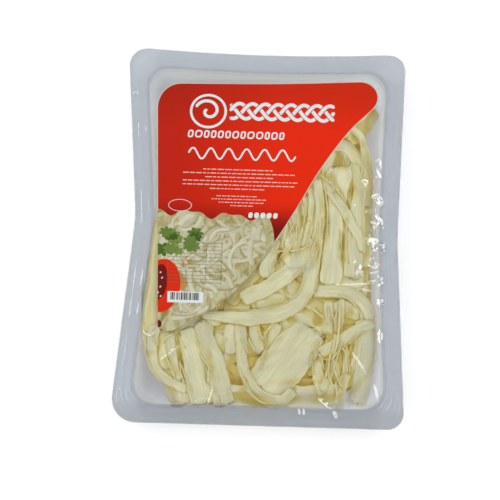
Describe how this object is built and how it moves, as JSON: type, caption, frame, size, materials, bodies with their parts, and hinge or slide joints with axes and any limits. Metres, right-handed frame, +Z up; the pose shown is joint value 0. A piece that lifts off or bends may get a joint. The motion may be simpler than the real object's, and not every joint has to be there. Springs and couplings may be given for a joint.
{
  "type": "sealed tray pack of string cheese",
  "caption": "Flat clear tray pack with a wide sealed flange, full of loose cheese ribbons under a lid film with a slanted red print.",
  "frame": {"origin": "centre of the tray's underside, on the surface it lies on", "axes": "+Z up out of the film, +Y along the length towards the top of the print, +X across to the right"},
  "size_m": [0.2416, 0.318, 0.0197],
  "materials": {
    "tray": "clear thermoformed sheet, faintly grey",
    "cheese": "moist pale cheese, fibrous",
    "film": "clear gloss film",
    "print": "gloss printed film"
  },
  "bodies": {
    "root": {"tray": "tray", "cheese": "cheese", "film": "film", "print": "print"}
  },
  "joints": []
}
